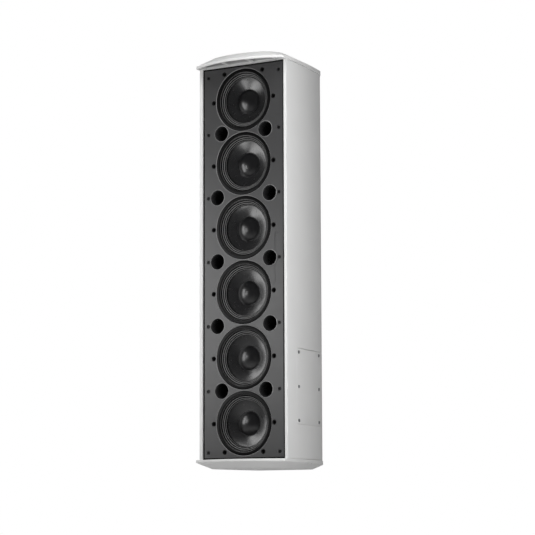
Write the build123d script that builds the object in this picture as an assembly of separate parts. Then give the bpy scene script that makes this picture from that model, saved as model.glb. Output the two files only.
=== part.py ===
"""Line array column loudspeaker with six cone drivers, as an assembly of separate pieces.

Frame: millimetres, +Z up, the drivers face -Y, origin at the centre of the footprint on the floor.
Depths along Y are given as "d", counted backwards from the front face of the baffle.
"""

import math
import os

from build123d import *

# ---------------------------------------------------------------- driving dimensions
DRIVERS = 6
DRIVER_PITCH = 166.0  # one nominal 6.5-inch driver frame and a land of baffle
COLUMN_H = 1057.0  # over both end caps

# cabinet
FRONT_W = 261.0  # across the front edges
FRONT_PROUD = 4.0  # the front edges stand this far before the baffle
BODY_D = 232.0  # baffle front to cabinet back
SIDE_MID = (125.5, 98.0)  # the side's bow, as half width and depth
SIDE_END = (110.4, 196.0)
BACK_CORNER_R = 34.0
WALL = 8.0
PANEL_T = 12.0
BATTEN_X = 100.0
BATTEN_D = 18.0
BRACE_FRONT_D = 104.0
BRACE_WINDOW = (156.0, 124.0, 206.0)  # width, first depth, last depth
BACK_PAD = (60.0, 12.0)  # half width and thickness behind the mounting inserts
JOINT = (1.5, 1.5)  # the shadow joint round each end: height and depth

# end caps
CAP_H = 22.5
CAP_RIM_H = (6.0, 11.0)  # at the nose and at the back, so the bevel starts on a slope
CAP_BEVEL_IN = 27.5
CAP_OVERHANG = 1.5
CAP_NOSE_MID = 56.0  # the bowed front edge before the baffle, at mid width
CAP_NOSE_END = 19.0  # and at its two ends
CAP_CORNER_R = 6.0
FLAT_NOSE_MID = 33.0
FLAT_NOSE_END = 4.0
FLAT_CORNER_R = 55.0
CAP_LIP = 4.5
CAP_SKIN = 5.0
POCKET_H = (6.0, 12.0)  # behind the lip, and further in
POCKET_STEP = 10.0  # from the first depth's edge to the second's
POCKET_BACK = 10.0  # the pockets' rear wall starts here, before the baffle
RIB_X = (-105.0, -36.0, 36.0, 105.0)
RIB_T = 3.5
SLOT_H = 2.4
SLOT_Z = 13.2
SLOTS_D = ((96.0, 22.0), (126.0, 9.0))  # middle depth and length

# baffle
BAFFLE_T = 15.0
BAFFLE_GAP = 4.5
BAFFLE_EDGE = 1.2
GASKET_D = 0.8
LABEL = (93.0, 113.0, 126.0, 0.7)  # from x, to x, height, depth

# driver, as radius and depth behind the baffle's front
REBATE_R = 81.8
FLANGE = (81.0, 72.0, 3.0, 5.0)  # outer radius, inner radius, front, back
CUTOUT_R = 74.0
RING = (81.0, 73.0, 0.5)  # outer radius, inner radius, front
LIP_R = 74.2
LIP_T = 0.7
SURROUND_OUT = (71.2, 6.6)
SURROUND_IN = (59.4, 14.9)
SURROUND_T = 0.7
SURROUND_ROLLS = 6
CONE_LIP = (60.8, 15.7)
CONE_EDGE = (56.6, 16.7)
CONE_NECK = (25.7, 28.3)
CONE_BOW = 0.8  # the cone's bulge towards the front, half way from neck to edge
CONE_T = 0.8
DOME_R = 31.0
DOME_H = 14.0
DOME_T = 0.6
HEM_T = 0.4  # of the dome's glued hem
COIL_R = (25.2, 25.7, 26.4)  # former inside, former outside, winding outside
COIL_FRONT = 28.0
WINDING_D = (59.0, 71.0)
SPIDER_R = (26.4, 44.4, 49.0)
SPIDER_D = 48.2
SPIDER_T = 0.6
SPIDER_ROLLS = 6
POLE_R = 24.6
VENT_R = 8.0
GAP_R = 27.0
PLATE_D = (62.0, 68.0)
PLATE_R = 60.0
MAGNET_R = (30.0, 62.0)
MAGNET_BACK = 84.0
YOKE_R = 56.0
YOKE_BACK = 91.0
FRAME_SCREW_R = 77.6

# ports, sockets and screws on the baffle
PORT_BORE_R = 17.0
PORT_R = 19.0
PORT_LIP = (21.0, 20.2, 0.6, 1.6)  # lip radius, mouth radius, proud, sunk
PORT_LEN = 95.0
PORT_X = (65.6, 78.0, 78.0, 78.0, 65.6)
SOCKET_R = 6.3
SOCKET_BORE_R = 4.4
SOCKET_X = 89.5
SOCKET_END = (57.0, 72.3)  # from the end drivers' centres
SCREW_X = 105.6
SCREW_ENDS = (488.0, 482.0)  # below and above mid height
SCREW_HEAD_R = 4.0

# side service cover
COVER_Z = (110.0, 300.0)
COVER_D = (45.0, 194.0)
COVER_T = 1.6
COVER_GAP = (0.4, 1.2)  # round the flush plate: at its sides, and above and below
COVER_FRAME = 18.0
COVER_SCREW_Z = (119.0, 204.0, 291.0)
COVER_SCREW_D = (55.0, 184.0)

# input cup
CUP_Z = 192.0
CUP = (90.0, 116.0, 26.0)  # opening width, height, depth
CUP_WALL = 3.0
CUP_FLANGE = 12.0
CUP_FLANGE_T = 2.5
CUP_PROUD = 0.5

# mounting inserts
INSERT_BORE_R = 3.4  # tapping bore of an M8 thread
INSERT_R = 6.0
INSERT_LEN = 18.0
BACK_PATTERN = (70.0, 110.0)  # M8 pattern across and up
BACK_PATTERN_Z = (442.0, 774.0)
CAP_INSERT_X = 55.0
CAP_INSERT_D = 110.0

# crossover board
BOARD = (65.0, 262.0, 346.0, 216.0, 2.0)  # half width, bottom, top, front depth, thickness

# ---------------------------------------------------------------- derived places
TOTAL_D = BODY_D + CAP_OVERHANG + CAP_NOSE_MID
BAFFLE_Y = CAP_NOSE_MID - TOTAL_D / 2
BACK_Y = BAFFLE_Y + BODY_D
SHELL_Z = (CAP_H, COLUMN_H - CAP_H)
MID_Z = COLUMN_H / 2
DRIVER_Z = [MID_Z + (i - (DRIVERS - 1) / 2) * DRIVER_PITCH for i in range(DRIVERS)]
PORT_Z = [(a + b) / 2 for a, b in zip(DRIVER_Z, DRIVER_Z[1:])]
PORTS = [(s * x, z) for x, z in zip(PORT_X, PORT_Z) for s in (-1, 1)]
SOCKETS = [(s * SOCKET_X, z) for z in DRIVER_Z for s in (-1, 1)]
for end_z, up in ((DRIVER_Z[0], -1), (DRIVER_Z[-1], 1)):
    SOCKETS += [(s * SOCKET_END[0], end_z + up * SOCKET_END[1]) for s in (-1, 1)]
SCREW_Z = [MID_Z - SCREW_ENDS[0]] + PORT_Z + [MID_Z + SCREW_ENDS[1]]
BAFFLE_SCREWS = [(s * SCREW_X, z) for z in SCREW_Z for s in (-1, 1)]
BAFFLE_X = FRONT_W / 2 - WALL - BAFFLE_GAP
BAFFLE_Z = (SHELL_Z[0] + BAFFLE_GAP, SHELL_Z[1] - BAFFLE_GAP)
PANELS_Z = (SHELL_Z[0] + PANEL_T, SHELL_Z[1] - PANEL_T)
BACK_D = BODY_D - WALL
BACK_INSERTS = [
    (sx * BACK_PATTERN[0] / 2, z + sz * BACK_PATTERN[1] / 2)
    for z in BACK_PATTERN_Z
    for sx in (-1, 1)
    for sz in (-1, 1)
]
CAP_SCREWS = [(-72.0, 30.0), (72.0, 30.0), (-60.0, 180.0), (60.0, 180.0)]  # x and depth


def y(d):
    """Depth behind the baffle's front face, as a place along Y."""
    return BAFFLE_Y + d


def box(x0, x1, d0, d1, z0, z1):
    size = (x1 - x0, d1 - d0, z1 - z0)
    return Pos((x0 + x1) / 2, y((d0 + d1) / 2), (z0 + z1) / 2) * Box(*size)


def rod(r, x, z, d0, d1):
    """A cylinder along Y between two depths."""
    along = Rot(X=90) * Cylinder(r, d1 - d0)
    return Pos(x, y((d0 + d1) / 2), z) * along


def tube(r_out, r_in, x, z, d0, d1):
    return rod(r_out, x, z, d0, d1) - rod(r_in, x, z, d0 - 1, d1 + 1)


def spin(points, z=0.0):
    """A solid of revolution about a driver's axis, from (radius, depth) points."""
    face = make_face(Polyline(*points, close=True))
    return Pos(0, BAFFLE_Y, z) * revolve(face, Axis.Y)


def save(shape, node):
    """Writes one node, with its solids side by side."""
    parts = shape if isinstance(shape, (list, tuple)) else [shape]
    solids = [s for p in parts for s in p.solids()]
    export_step(Compound(children=solids), f"parts/{node}.step")


# ---------------------------------------------------------------- cabinet
def side_bow():
    """The centre and radius of the right-hand side's bow, in plan."""
    front = (FRONT_W / 2, y(-FRONT_PROUD))
    middle = (SIDE_MID[0], y(SIDE_MID[1]))
    bow = ThreePointArc(front, middle, (SIDE_END[0], y(SIDE_END[1])))
    return bow.arc_center, bow.radius


def body_plan(inset=0.0, nose_mid=FRONT_PROUD, nose_end=FRONT_PROUD, corner_r=0.0):
    """The cabinet's plan: bowed sides that close in towards a flat back with round corners.

    The nose is where the plan ends before the baffle, at mid width and at its two ends.
    """
    rear = BACK_Y - inset
    centre, bow_r = side_bow()
    side_r = bow_r - inset
    tip, end = [
        Vector(centre.X + math.sqrt(side_r**2 - (py - centre.Y) ** 2), py)
        for py in (y(-nose_end), y(SIDE_END[1]) - inset * (y(SIDE_END[1]) - centre.Y) / bow_r)
    ]
    mid = centre + ((tip + end) / 2 - centre).normalized() * side_r
    side = ThreePointArc(tip, mid, end)
    run = side % 1
    corner = end + run * ((rear - end.Y) / run.Y)
    bend_r = max(BACK_CORNER_R - inset, 4.0)
    trim = bend_r * math.tan(math.acos(-run.X) / 2)
    tangent = corner - run * trim
    flat = corner - Vector(trim, 0)
    right = [side, Line(end, tangent), TangentArc(tangent, flat, tangent=run)]
    left_tip = (-tip.X, tip.Y)
    if nose_mid == nose_end:
        nose = Line(left_tip, tip)
    else:
        nose = ThreePointArc(left_tip, (0, y(-nose_mid)), tip)
    back = Line(flat, (-flat.X, flat.Y))
    plan = make_face([nose, back] + right + [mirror(e, Plane.YZ) for e in right])
    if corner_r:
        corners = [v for v in plan.vertices() if abs(v.Y - tip.Y) < 0.01]
        plan = fillet(corners, corner_r)
    return plan


def prism(plan, z0, z1):
    return Pos(0, 0, z0) * extrude(plan, z1 - z0)


INSIDE = prism(body_plan(WALL, 60, 60), SHELL_Z[0] - 5, SHELL_Z[1] + 5)
OUTSIDE = prism(body_plan(), *SHELL_Z)


def side_point(d):
    """Half width of the cabinet at a depth, and the unit normal of the bowed side there."""
    centre, r = side_bow()
    x = centre.X + math.sqrt(r**2 - (y(d) - centre.Y) ** 2)
    return Vector(x, y(d)), Vector(x - centre.X, y(d) - centre.Y).normalized()


def cabinet_shell():
    shell = OUTSIDE - INSIDE
    inner_h = (SHELL_Z[0] - 1, SHELL_Z[1] + 1)
    pad_x, pad_t = BACK_PAD
    fill = [
        box(-140, 140, BAFFLE_T, BODY_D, SHELL_Z[0], PANELS_Z[0]),
        box(-140, 140, BAFFLE_T, BODY_D, PANELS_Z[1], SHELL_Z[1]),
        box(BATTEN_X, 140, BAFFLE_T, BAFFLE_T + BATTEN_D, *inner_h),
        box(-140, -BATTEN_X, BAFFLE_T, BAFFLE_T + BATTEN_D, *inner_h),
    ]
    fill += [
        box(-pad_x, pad_x, BACK_D - pad_t, BODY_D - 2, z - 70, z + 70) for z in BACK_PATTERN_Z
    ]
    shell = shell + [f & OUTSIDE for f in fill]
    seat = BODY_D - (CUP_FLANGE_T - CUP_PROUD)
    cuts = [cup_block(CUP_WALL, 180, 240), cup_block(CUP_FLANGE, seat, 240), service_opening()]
    cuts.append(cover_skin(-1.0) & cover_blank(*COVER_GAP))
    for z0 in (SHELL_Z[0], SHELL_Z[1] - JOINT[0]):
        z1 = z0 + JOINT[0]
        cuts.append(prism(body_plan(-2.0), z0, z1) - prism(body_plan(JOINT[1]), z0, z1))
    cuts += [rod(INSERT_R, x, z, BODY_D - INSERT_LEN, BODY_D + 1) for x, z in BACK_INSERTS]
    cuts += [rod(2.2, x, z, 0, 31) for x, z in BAFFLE_SCREWS]
    cuts += [screw_hole(d, z, 2.05) for d in COVER_SCREW_D for z in COVER_SCREW_Z]
    cuts += [rod(1.6, x, z, BODY_D - 9, BODY_D) for x, z in cup_screw_places()]
    for x, d in CAP_SCREWS:
        cuts += [Pos(x, y(d), z) * Cylinder(2.2, 20) for z in SHELL_Z]
    return shell - cuts


def cup_block(margin, d0, d1):
    """A block round the input cup's opening, larger by a margin on all four sides."""
    half_w, half_h = CUP[0] / 2 + margin, CUP[1] / 2 + margin
    return box(-half_w, half_w, d0, d1, CUP_Z - half_h, CUP_Z + half_h)


def cover_blank(side_gap=0.0, end_gap=0.0):
    """A block across the side wall in the cover's outline, widened by gaps."""
    d0, d1 = COVER_D
    z0, z1 = COVER_Z
    blank = box(80, 160, d0 - side_gap, d1 + side_gap, z0 - end_gap, z1 + end_gap)
    return fillet(blank.edges().filter_by(Axis.X), 5)


def cover_skin(outer):
    """The wall's outermost layer, as thick as the cover."""
    z0, z1 = COVER_Z[0] - 5, COVER_Z[1] + 5
    return prism(body_plan(outer), z0, z1) - prism(body_plan(COVER_T), z0, z1)


def service_opening():
    z0, z1 = COVER_Z
    d0, d1 = COVER_D
    f = COVER_FRAME
    return box(90, 140, d0 + f, d1 - f, z0 + f, z1 - f)


def shelf_braces():
    width, d0, d1 = BRACE_WINDOW
    braces = []
    for z in (PORT_Z[1], PORT_Z[2], PORT_Z[3]):
        plate = box(-140, 140, BRACE_FRONT_D, BACK_D + 5, z - 6, z + 6) & INSIDE
        window = box(-width / 2, width / 2, d0, d1, z - 7, z + 7)
        window = fillet(window.edges().filter_by(Axis.Z), 20)
        braces.append(plate - window)
    return braces


# ---------------------------------------------------------------- end caps
def bottom_cap_shape():
    """The bottom cap, standing on its flat; the top cap is its mirror image."""
    rim = body_plan(-CAP_OVERHANG, CAP_NOSE_MID, CAP_NOSE_END, CAP_CORNER_R)
    flat = body_plan(CAP_BEVEL_IN - CAP_OVERHANG, FLAT_NOSE_MID, FLAT_NOSE_END, FLAT_CORNER_R)
    slope = math.atan2(CAP_RIM_H[0] - CAP_RIM_H[1], TOTAL_D)
    fold = Plane((0, y(-CAP_NOSE_MID), CAP_H - CAP_RIM_H[0])).rotated((math.degrees(slope), 0, 0))
    block = prism(rim, 0, CAP_H)
    upper = split(block, bisect_by=fold, keep=Keep.TOP)
    outline = upper.faces().sort_by(Axis.Z)[0]
    bevel = loft([flat.faces()[0], outline], ruled=True)
    cap = bevel + upper
    pockets = []
    for lip, depth in ((CAP_LIP, POCKET_H[0]), (CAP_LIP + POCKET_STEP, POCKET_H[1])):
        plan = body_plan(lip - CAP_OVERHANG, CAP_NOSE_MID - lip, CAP_NOSE_END - lip, 3.0)
        pockets.append(prism(plan, CAP_H - depth, CAP_H + 1))
    pockets = pockets[0] + pockets[1]
    pockets = pockets & box(-140, 140, -CAP_NOSE_MID, -POCKET_BACK, 0, CAP_H + 1)
    pockets = pockets - [box(x - RIB_T / 2, x + RIB_T / 2, -60, 0, 0, CAP_H + 1) for x in RIB_X]
    hollow = prism(body_plan(CAP_BEVEL_IN + 8), CAP_SKIN, CAP_H + 1)
    stays = [box(x - 4, x + 4, 0, BODY_D, 0, CAP_H) for x in (-30, 30)]
    stays += [Pos(x, y(d), CAP_H / 2) * Cylinder(9, CAP_H) for x, d in CAP_SCREWS]
    stays += [Pos(s * CAP_INSERT_X, y(CAP_INSERT_D), CAP_H / 2) * Cylinder(11, CAP_H) for s in (-1, 1)]
    cap = cap - pockets - (hollow - stays)
    cuts = []
    for x, d in CAP_SCREWS:
        cuts += [
            Pos(x, y(d), 0) * Cylinder(5.5, 10),
            Pos(x, y(d), CAP_H / 2) * Cylinder(2.6, CAP_H + 2),
        ]
    for s in (-1, 1):
        cuts.append(Pos(s * CAP_INSERT_X, y(CAP_INSERT_D), 0) * Cylinder(INSERT_R, 2 * INSERT_LEN))
    z = SLOT_Z
    for d, length in SLOTS_D:
        edge, _ = side_point(d)
        d0, d1 = d - length / 2, d + length / 2
        cuts.append(box(edge.X - 2.5, edge.X + 4, d0, d1, z - SLOT_H / 2, z + SLOT_H / 2))
    return cap - cuts


def cap_screws():
    screws = []
    for x, d in CAP_SCREWS:
        head = Pos(x, y(d), 3.4) * Cylinder(4.6, 3.2)
        head -= Pos(x, y(d), 2.4) * extrude(RegularPolygon(2.3, 6), 1.4)
        shank = Pos(x, y(d), 17.5) * Cylinder(2.15, 25)
        screw = head + shank
        screws += [screw, over_mid(screw)]
    return screws


def over_mid(shape):
    """The same shape at the other end of the column."""
    return mirror(shape, Plane.XY.offset(MID_Z))


# ---------------------------------------------------------------- baffle
def front_baffle():
    plate = box(-BAFFLE_X, BAFFLE_X, 0, BAFFLE_T, *BAFFLE_Z)
    front = plate.faces().sort_by(Axis.Y)[0]
    plate = chamfer(front.edges(), BAFFLE_EDGE)
    lip_r, _, _, sunk = PORT_LIP
    x0, x1, label_h, label_d = LABEL
    label = box(x0, x1, -1, label_d, MID_Z - label_h / 2, MID_Z + label_h / 2)
    cuts = [fillet(label.edges().filter_by(Axis.Y), 3)]
    for z in DRIVER_Z:
        rebate = rod(REBATE_R, 0, z, -1, FLANGE[3])
        edge = [(REBATE_R + 1.6, -1), (REBATE_R + 0.6, 0), (REBATE_R, 0.6)]
        softened = spin([(0, -1)] + edge + [(0, 0.6)], z)
        cuts += [rebate, softened, rod(CUTOUT_R, 0, z, -1, 20)]
        cuts += [rod(1.55, x, zz, 4, 20) for x, zz in frame_screw_places(z)]
    for x, z in PORTS:
        cuts += [rod(lip_r, x, z, -1, sunk), rod(PORT_R, x, z, 0, 20)]
    cuts += [rod(SOCKET_R, x, z, -1, 20) for x, z in SOCKETS]
    for x, z in BAFFLE_SCREWS:
        cuts += [rod(SCREW_HEAD_R + 0.8, x, z, -1, 4.0), rod(2.25, x, z, 0, 20)]
    return plate - cuts


def baffle_gasket():
    ring = box(-140, 140, GASKET_D, BAFFLE_T, *SHELL_Z) & INSIDE
    return ring - box(-BAFFLE_X, BAFFLE_X, 0, 20, *BAFFLE_Z)


def baffle_screws():
    screws = []
    for x, z in BAFFLE_SCREWS:
        screw = rod(SCREW_HEAD_R, x, z, 1.6, 4.0) + rod(2.15, x, z, 3, 30)
        socket = extrude(RegularPolygon(2.2, 6), 1.4)
        screws.append(screw - Pos(x, y(1.6), z) * Rot(X=-90) * socket)
    return screws


def port_tubes():
    lip_r, mouth_r, proud, sunk = PORT_LIP
    profile = [
        (PORT_BORE_R, 6.0),
        (PORT_BORE_R + 0.8, 2.6),
        (PORT_BORE_R + 2.0, 0.4),
        (mouth_r, -proud),
        (lip_r - 0.3, -proud),
        (lip_r, -proud + 0.3),
        (lip_r, sunk),
        (PORT_R, sunk),
        (PORT_R, PORT_LEN),
        (PORT_BORE_R, PORT_LEN),
    ]
    one = spin(profile)
    return [Pos(x, 0, z) * one for x, z in PORTS]


def grille_sockets():
    profile = [
        (0, 12.0),
        (SOCKET_BORE_R, 12.0),
        (SOCKET_BORE_R, 1.4),
        (SOCKET_BORE_R + 0.9, 0.2),
        (SOCKET_R, 0.2),
        (SOCKET_R, 14.5),
        (0, 14.5),
    ]
    one = spin(profile)
    return [Pos(x, 0, z) * one for x, z in SOCKETS]


# ---------------------------------------------------------------- drivers
def frame_screw_places(z):
    turns = [math.radians(a) for a in (45, 135, 225, 315)]
    return [(FRAME_SCREW_R * math.cos(t), z + FRAME_SCREW_R * math.sin(t)) for t in turns]


def rolled(start, end, rolls, thickness, first_up):
    """Both edges of a pleated strip: half rolls from start to end, as two lists of curves."""
    (r0, d0), (r1, d1) = start, end
    length = math.hypot(r1 - r0, d1 - d0)
    along = ((r1 - r0) / length, (d1 - d0) / length)
    out = (along[1], -along[0])
    out = out if out[1] < 0 else (-out[0], -out[1])
    roll = length / rolls / 2

    def at(s, n):
        return (r0 + along[0] * s + out[0] * n, d0 + along[1] * s + out[1] * n)

    front, rear = [], []
    for i in range(rolls):
        middle = roll * (2 * i + 1)
        up = 1 if (i % 2 == 0) == first_up else -1
        for side, curves in ((1, front), (-1, rear)):
            size = roll + up * side * thickness / 2
            ends = [at(middle - size, 0), at(middle, up * size), at(middle + size, 0)]
            curves.append(ThreePointArc(*ends))
    return front, rear


def pleated(start, end, rolls, thickness, first_up, outer_tail, inner_tail):
    """A pleated ring: a rolled strip closed at both ends through the tails' corners."""
    front, rear = rolled(start, end, rolls, thickness, first_up)
    outer = Polyline(rear[0] @ 0, *outer_tail, front[0] @ 0)
    inner = Polyline(front[-1] @ 1, *inner_tail, rear[-1] @ 1)
    face = make_face(front + rear + [outer, inner])
    return revolve(Pos(0, BAFFLE_Y) * face, Axis.Y)


def surround():
    flange_in = FLANGE[1]
    front, back = FLANGE[2] - LIP_T, FLANGE[2]
    start_r, _ = SURROUND_OUT
    outer_tail = [
        (flange_in - 0.4, back),
        (LIP_R, back),
        (LIP_R, front),
        (start_r - 0.3, front),
    ]
    glue = (57.2, 60.0)
    inner_tail = [
        (glue[0], cone_front(glue[0]) - SURROUND_T),
        (glue[0], cone_front(glue[0])),
        (glue[1], cone_front(glue[1])),
    ]
    ends = (SURROUND_OUT, SURROUND_IN)
    return pleated(*ends, SURROUND_ROLLS, SURROUND_T, False, outer_tail, inner_tail)


def spider():
    inner, outer, lip = SPIDER_R
    half = SPIDER_T / 2
    outer_tail = [
        (outer - half, SPIDER_D + half),
        (lip, SPIDER_D + half),
        (lip, SPIDER_D - half),
        (outer + half, SPIDER_D - half),
    ]
    inner_tail = [
        (inner + half, SPIDER_D - 1.8),
        (COIL_R[1], SPIDER_D - 1.8),
        (COIL_R[1], SPIDER_D),
    ]
    ends = ((outer, SPIDER_D), (inner, SPIDER_D))
    return pleated(*ends, SPIDER_ROLLS, SPIDER_T, True, outer_tail, inner_tail)


def cone_front(r):
    """Depth of the cone's front face at a radius."""
    bowed = r < CONE_EDGE[0]
    inner, outer = (CONE_NECK, CONE_EDGE) if bowed else (CONE_EDGE, CONE_LIP)
    share = (r - inner[0]) / (outer[0] - inner[0])
    bulge = 4 * CONE_BOW * share * (1 - share) if bowed else 0.0
    return inner[1] + (outer[1] - inner[1]) * share - bulge


def cone():
    mid_r = (CONE_EDGE[0] + CONE_NECK[0]) / 2
    front = [CONE_LIP, CONE_EDGE, (mid_r, cone_front(mid_r)), CONE_NECK]
    back = [(r, d + CONE_T * 1.08) for r, d in front]
    edges = [Line(front[0], back[0]), Line(front[-1], back[-1])]
    for lip, edge, middle, neck in (front, back):
        edges += [Line(lip, edge), ThreePointArc(edge, middle, neck)]
    return revolve(Pos(0, BAFFLE_Y) * make_face(edges), Axis.Y)


def dust_cap():
    base_d = cone_front(DOME_R)
    top = base_d - DOME_H
    outer = arc_through((DOME_R, base_d - HEM_T), (0, top))
    inner_r = DOME_R - DOME_T
    inner = arc_through((inner_r, cone_front(inner_r)), (0, top + DOME_T))
    hem_r = DOME_R + 1.6
    hem_d = cone_front(hem_r)
    hem = [(DOME_R, base_d - HEM_T), (hem_r, hem_d - HEM_T), (hem_r, hem_d)]
    edges = [
        outer,
        inner,
        Line((0, top), (0, top + DOME_T)),
        Polyline(*hem),
        Line((hem_r, hem_d), (inner_r, cone_front(inner_r))),
    ]
    dome = revolve(Pos(0, BAFFLE_Y) * make_face(edges), Axis.Y)
    return dome - cone()


def arc_through(rim, crown):
    """Half of a dome's section: an arc with its crown on the axis."""
    r, rise = rim[0], rim[1] - crown[1]
    radius = (r**2 + rise**2) / (2 * rise)
    half = math.asin(r / radius) / 2
    middle = (radius * math.sin(half), crown[1] + radius * (1 - math.cos(half)))
    return ThreePointArc(rim, middle, crown)


def voice_coil():
    inner, outer, wire = COIL_R
    first, last = WINDING_D
    profile = [
        (inner, COIL_FRONT),
        (outer, COIL_FRONT),
        (outer, first),
        (wire, first),
        (wire, last),
        (inner, last),
    ]
    return spin(profile)


def basket():
    out_r, in_r, front, back = FLANGE
    wall = CUTOUT_R - 0.5
    shelf = SPIDER_D + SPIDER_T / 2
    plate_d = PLATE_D[0]
    profile = [
        (in_r, front),
        (out_r, front),
        (out_r, back),
        (wall, back),
        (wall, 16),
        (52, 50),
        (52, plate_d),
        (29, plate_d),
        (29, plate_d - 2),
        (50.3, plate_d - 2),
        (50.3, shelf + 1.5),
        (44.8, shelf + 1.5),
        (44.8, shelf),
        (50.3, shelf),
        (in_r, 15.4),
    ]
    frame = spin(profile)
    window = make_face(Polyline((48, 19.5), (80, 19.5), (80, 45), (48, 45), close=True))
    window += make_face(Polyline((46, 51.5), (60, 51.5), (60, 58.5), (46, 58.5), close=True))
    sector = revolve(Pos(0, BAFFLE_Y) * window, Axis.Y, revolution_arc=40)
    frame = frame - [Rot(Y=60 * i + 10) * sector for i in range(6)]
    heads = []
    for x, z in frame_screw_places(0):
        heads += [rod(2.7, x, z, 0, 4.2), rod(1.7, x, z, 3, 6)]
    return frame - heads


def frame_screw(x, z):
    front = FLANGE[2]
    screw = rod(2.5, x, z, front, 4.2) + rod(1.5, x, z, 4, 14)
    socket = extrude(RegularPolygon(1.3, 6), 0.7)
    return screw - Pos(x, y(front), z) * Rot(X=-90) * socket


def trim_ring():
    out_r, in_r, front = RING
    step = LIP_R + 0.4
    profile = [
        (in_r, front + 0.5),
        (in_r + 0.5, front),
        (out_r - 0.5, front),
        (out_r, front + 0.5),
        (out_r, FLANGE[2]),
        (step, FLANGE[2]),
        (step, FLANGE[2] - LIP_T),
        (in_r, FLANGE[2] - LIP_T),
    ]
    return spin(profile)


def top_plate():
    front, back = PLATE_D
    return spin([(GAP_R, front), (PLATE_R, front), (PLATE_R, back), (GAP_R, back)])


def magnet():
    inner, outer = MAGNET_R
    front, back = PLATE_D[1], MAGNET_BACK
    return spin([(inner, front), (outer, front), (outer, back), (inner, back)])


def yoke():
    profile = [
        (VENT_R, PLATE_D[0]),
        (POLE_R, PLATE_D[0]),
        (POLE_R, MAGNET_BACK),
        (YOKE_R, MAGNET_BACK),
        (YOKE_R, YOKE_BACK),
        (VENT_R, YOKE_BACK),
    ]
    return spin(profile)


# ---------------------------------------------------------------- side cover, input and wiring
def square_to_side(d, z):
    """A plane on the right-hand side's skin, facing straight out."""
    point, normal = side_point(d)
    return Plane(origin=(point.X, point.Y, z), z_dir=(normal.X, normal.Y, 0))


def screw_hole(d, z, r):
    """A hole for one cover screw, through the skin and the plate."""
    return square_to_side(d, z) * Pos(0, 0, -5) * Cylinder(r, 14)


def side_cover_plate():
    plate = cover_skin(0.0) & cover_blank()
    return plate - [screw_hole(d, z, 2.3) for d in COVER_SCREW_D for z in COVER_SCREW_Z]


def side_cover_screws():
    screws = []
    for d in COVER_SCREW_D:
        for z in COVER_SCREW_Z:
            head = Pos(0, 0, 0.9) * Cylinder(4.2, 1.8)
            head = fillet(head.edges().sort_by(Axis.Z)[-1:], 1.1)
            socket = Pos(0, 0, 0.8) * extrude(RegularPolygon(1.9, 6), 2)
            shank = Pos(0, 0, -5) * Cylinder(2.0, 11)
            screws.append(square_to_side(d, z) * (head + shank - socket))
    return screws


def cup_screw_places():
    half_w, half_h = CUP[0] / 2 + CUP_WALL + 4.5, CUP[1] / 2 + CUP_WALL + 4.5
    return [(sx * half_w, CUP_Z + sz * half_h) for sx in (-1, 1) for sz in (-1, 0, 1)]


def input_cup():
    face_d = BODY_D + CUP_PROUD
    seat = face_d - CUP_FLANGE_T
    flange = cup_block(CUP_FLANGE, seat, face_d)
    flange = fillet(flange.edges().filter_by(Axis.Y), 1.0)
    bowl = cup_block(CUP_WALL, face_d - CUP[2] - CUP_WALL, seat)
    hollow = cup_block(0, face_d - CUP[2], face_d + 1)
    hollow = fillet(hollow.edges().filter_by(Axis.Y), 6)
    cup = flange + bowl - hollow
    return cup - [rod(1.9, x, z, seat - 1, face_d + 1) for x, z in cup_screw_places()]


def cup_screws():
    face_d = BODY_D + CUP_PROUD
    screws = []
    for x, z in cup_screw_places():
        head = rod(3.2, x, z, face_d, face_d + 1.0)
        cross = box(x - 1.8, x + 1.8, face_d + 0.5, face_d + 2, z - 0.35, z + 0.35)
        cross += box(x - 0.35, x + 0.35, face_d + 0.5, face_d + 2, z - 1.8, z + 1.8)
        screws.append(head + rod(1.5, x, z, BODY_D - 8, face_d + 0.2) - cross)
    return screws


def cup_floor():
    return BODY_D + CUP_PROUD - CUP[2]


def terminal_places():
    return [(x, CUP_Z) for x in (-27.0, -9.0, 9.0, 27.0)]


def terminal_strip():
    floor = cup_floor()
    strip = box(-38, 38, floor, floor + 7.5, CUP_Z - 12, CUP_Z + 12)
    for x in (-36.9, -18.0, 0.0, 18.0, 36.9):
        strip += box(x - 1.1, x + 1.1, floor, floor + 13, CUP_Z - 12, CUP_Z + 12)
    return strip - [rod(1.8, x, z, floor + 1.5, floor + 20) for x, z in terminal_places()]


def terminal_screws():
    base = cup_floor() + 7.5
    screws = []
    for x, z in terminal_places():
        clamp = box(x - 5.5, x + 5.5, base, base + 1, z - 6, z + 6)
        head = rod(3.6, x, z, base + 1, base + 3.4)
        slot = box(x - 4, x + 4, base + 2.4, base + 4, z - 0.5, z + 0.5)
        screws.append(clamp + head + rod(1.7, x, z, base - 5.5, base + 1) - slot)
    return screws


def rigging_inserts():
    front = BODY_D - INSERT_LEN
    inserts = [tube(INSERT_R, INSERT_BORE_R, x, z, front, BODY_D) for x, z in BACK_INSERTS]
    for s in (-1, 1):
        body = Cylinder(INSERT_R, INSERT_LEN) - Cylinder(INSERT_BORE_R, INSERT_LEN + 2)
        insert = Pos(s * CAP_INSERT_X, y(CAP_INSERT_D), INSERT_LEN / 2) * body
        inserts += [insert, over_mid(insert)]
    return inserts


def crossover_board():
    half_w, z0, z1, d, t = BOARD
    board = box(-half_w, half_w, d, d + t, z0, z1)
    for x in (-half_w + 7, half_w - 7):
        for z in (z0 + 7, z1 - 7):
            board += rod(3.5, x, z, d + t, BACK_D)
    return board


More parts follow.
